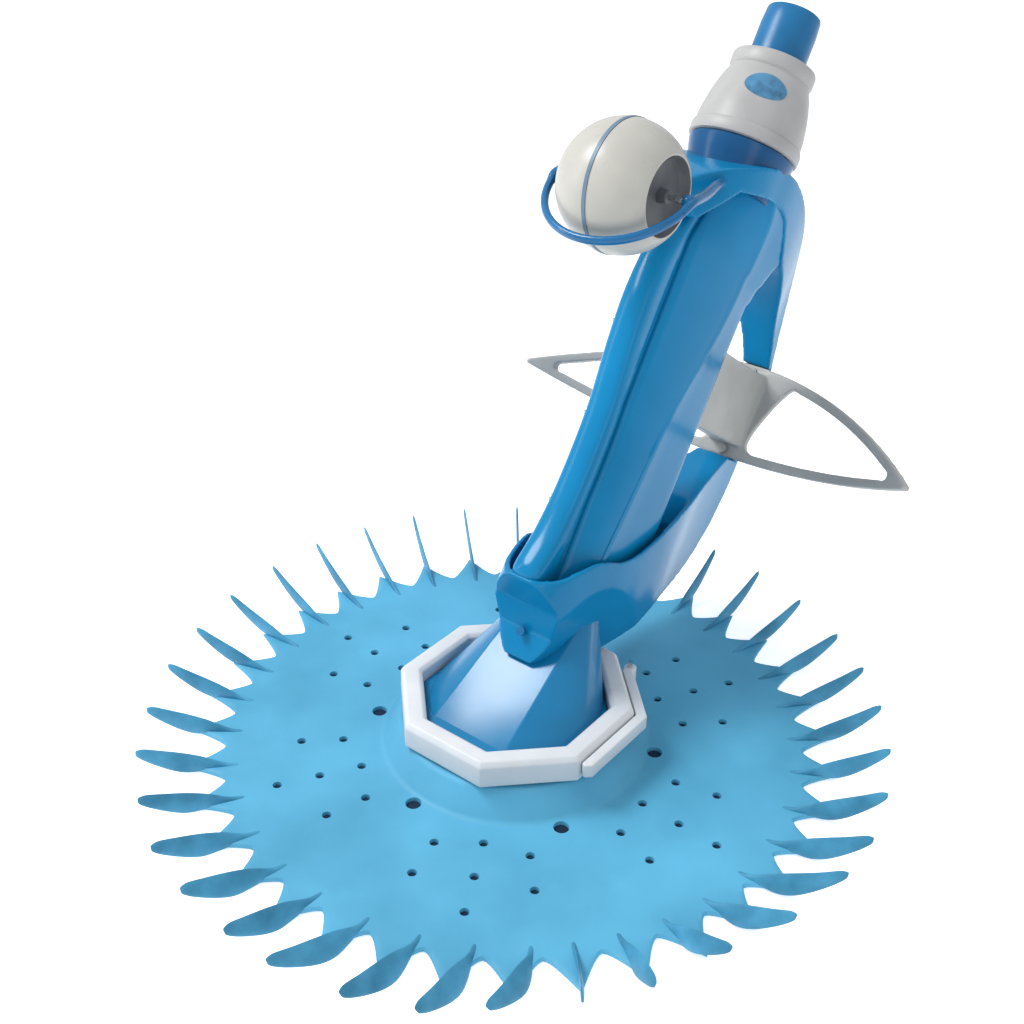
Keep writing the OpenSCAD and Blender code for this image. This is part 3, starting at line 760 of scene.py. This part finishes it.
def hoop_at(deg):
    """Point on the hoop's middle line; 0 and 180 are at the pins."""
    x, out = polar(HOOP_R, deg)
    return FLOAT_C + Vector((x, out * math.cos(HOOP_TILT), out * math.sin(HOOP_TILT))) * MM


def make_hoop():
    steps, sides = 120, 16
    up = Vector((0, -math.sin(HOOP_TILT), math.cos(HOOP_TILT)))
    rings = []
    for i in range(steps):
        p = hoop_at(180 - HOOP_END + (180 + 2 * HOOP_END) * i / (steps - 1))
        out = (p - FLOAT_C).normalized()
        rings.append([p + (out * math.cos(b) * 2.4 + up * math.sin(b) * 2.9) * MM
                      for b in (2 * math.pi * j / sides for j in range(sides))])
    parts = [loft("hoop", rings)]
    boss = [(0, 41.9), (3.2, 41.9), (4.2, 42.8), (4.4, 46.4), (3.4, 47.6), (0, 47.6)]
    for sign in (1, -1):
        path = [Vector((sign * p.x, p.y, p.z))
                for p in (hoop_at(HOOP_END - 14), hoop_at(HOOP_END - 2))]
        path += [at(sign * x, t, s)
                 for x, t, s in ((42.5, -100, 327), (35, -78, 340), (26, -57, 348), (18, -42, 352))]
        parts.append(tube("arm", smooth_path(path, 8), lambda u: 2.7 + 0.5 * math.sin(math.pi * u)))
        parts.append(lathe("boss", boss, float_place(sign), steps=40, closed=False))
    return join("float_hoop_ring", parts)


# ---------------------------------------------------------------- hose end
# (radius, place along the axis) sections
NUT_PROFILE = [
    (30.1, 387.2), (36.2, 387), (37.3, 387.6), (37.7, 389), (37.7, 394), (37.2, 395.4),
    (36.3, 396), (36.2, 398), (35.9, 403), (35.2, 408), (34.0, 415), (32.2, 422.5), (30.2, 429),
    (28.4, 433.5), (27.5, 435.6), (27.3, 436.6), (28.0, 437.4), (28.4, 438.4), (28.4, 445),
    (27.8, 446.4), (26.6, 447), (20.4, 447), (19.5, 446.2), (19.5, 436), (25, 436), (28.6, 412),
    (30.1, 399)]
SPIGOT_PROFILE = [
    (15.5, 405), (18.3, 405), (18.3, 427), (22.9, 427), (22.9, 432), (18.4, 432), (18.4, 448.6),
    (19.0, 449.2), (19.0, 470.5), (18.7, 474), (18.3, 480), (17.8, 481), (16.4, 481),
    (15.6, 480.2)]
NECK_PROFILE = [
    (21.1, 356), (29.9, 356), (31, 366), (33.6, 376), (35.6, 383), (36, 385.6), (35.4, 386.4),
    (29.9, 386.6), (29.9, 397.4), (29.4, 398), (21.1, 398)]


# ---------------------------------------------------------------- assemble
put(make_disc(), "disc", DISC, "disc_plastic", "disc", angle=40)
# Thin dark plugs inside the disc's holes: painted shade where the holes would show the shaded
# floor.
put(hole_lathes(lambda r: [(0, 0.1), (r - 0.05, 0.1), (r - 0.05, 0.5), (0, 0.5)]), "disc", PAINTED_HOLE_SHADE,
    "disc_plastic")
put(make_fins(), "disc", FIN, "disc_plastic", angle=70)
put(make_foot(), "frame", FOOT, "blue_plastic", "foot_shell", angle=20)
put(make_ring(), "frame", RING, "white_plastic", "retaining_ring", angle=30)
put(make_catch(), "catch", RING, "white_plastic", "ring_catch", angle=30)
put(make_body(), "frame", BODY, "blue_plastic", "body_left", "body_right", angle=50)
put(make_screw_heads(), "frame", STEEL, "steel", "body_screws")
put(make_upper_bow(), "frame", BODY, "blue_plastic", "upper_bow", angle=80)
put(make_lower_bow(), "frame", BODY, "blue_plastic", "lower_bow", angle=80)
put(make_bumper(), "frame", BUMPER, "bumper_plastic", "bumper", angle=80)
for side_name, sign in (("left", -1), ("right", 1)):
    half = put(make_float_half(f"float_shell_{side_name}", sign), "float", FLOAT, "float_plastic",
               f"float_{side_name}")
    # Faces of the pole recess take the dark colour: painted shade in the recess.
    half.data.materials.append(POLE_PAINTED_SHADE)
    for face in half.data.polygons:
        c = face.center - FLOAT_C
        if math.hypot(c.y, c.z) < POLE_SHADE_R and abs(c.x) > POLE_SHADE_X:
            face.material_index = 1
put(make_hoop(), "frame", HOOP, "hoop_plastic", "float_hoop", angle=60)
put(lathe("hand_nut_shell", NUT_PROFILE, at, steps=128), "hand_nut", NUT, "nut_plastic",
    "hand_nut")
put(lathe("hose_spigot_tube", SPIGOT_PROFILE, at), "spigot", SPIGOT, "spigot_plastic", "spigot")
put(lathe("neck_collar", NECK_PROFILE, at), "frame", DEEP, "dark_blue_plastic", "neck_ring")

for screw_node, look in (("bumper_screws", BUMPER), ("tongue_screw", HOOP)):
    frame["nodes"][screw_node].data.materials[0] = look

# ---------------------------------------------------------------- stage
FLOOR_HALF, FLOOR_Z = 4, -0.0004
FLOOR = material("pale_floor", (0.92, 0.93, 0.94), rough=0.7, vary=0.01, scale=3, bump=0.0)
FLOOR_SHADER = FLOOR.node_tree.nodes["Principled BSDF"]
FLOOR_SHADER.inputs["Emission Color"].default_value = (1, 1, 1, 1)
FLOOR_SHADER.inputs["Emission Strength"].default_value = 0.5
floor = new_object("floor", [(x * FLOOR_HALF, y * FLOOR_HALF, FLOOR_Z)
                             for x, y in ((-1, -1), (1, -1), (1, 1), (-1, 1))], [(0, 1, 2, 3)])
floor.data.materials.append(FLOOR)

world = bpy.data.worlds.new("studio")
bpy.context.scene.world = world
world.use_nodes = True
world.node_tree.nodes["Background"].inputs["Color"].default_value = (0.93, 0.96, 1.0, 1)
world.node_tree.nodes["Background"].inputs["Strength"].default_value = 0.72
# The plain transform keeps the blues saturated
bpy.context.scene.view_settings.view_transform = "Standard"


def look_at(name, data, place, target, roll=0.0):
    """Puts a light or camera in place, turned to the target."""
    o = add_object(name, data)
    o.location = place
    o.rotation_mode = "QUATERNION"
    aim = (Vector(target) - Vector(place)).to_track_quat("-Z", "Y")
    o.rotation_quaternion = aim @ Quaternion((0, 0, 1), roll)
    return o


def area_light(name, place, target, power, size, size_y=None):
    light = bpy.data.lights.new(name, "AREA")
    light.energy = power
    light.shape = "RECTANGLE"
    light.size = size
    light.size_y = size_y or size
    look_at(name, light, place, target)


area_light("key", (-0.72, -0.36, 1.27), (0, -0.01, 0.05), 15, 0.5)
area_light("side", (1.5, -0.9, 0.9), (0, 0.1, 0.2), 2.2, 0.5, 1.0)
area_light("top", (0.3, 0.6, 1.8), (0, 0.1, 0), 2, 0.8)
area_light("left", (-1.4, -0.9, 0.7), (0, 0.05, 0.15), 3.4, 0.3, 1.0)

# ---------------------------------------------------------------- camera
SENSOR = 36
IMAGE_SIDE, FOCAL = 1024, 1351.4        # both in widths of one image point
ROLL = math.radians(0.667)
cam = bpy.data.cameras.new("camera")
cam.sensor_width = SENSOR
cam.lens = FOCAL * SENSOR / IMAGE_SIDE
cam.clip_start, cam.clip_end = 0.01, 20
bpy.context.scene.camera = look_at("camera", cam, (0.4277, -0.553, 0.5949),
                                   (-0.1778, 0.222, 0.003), ROLL)
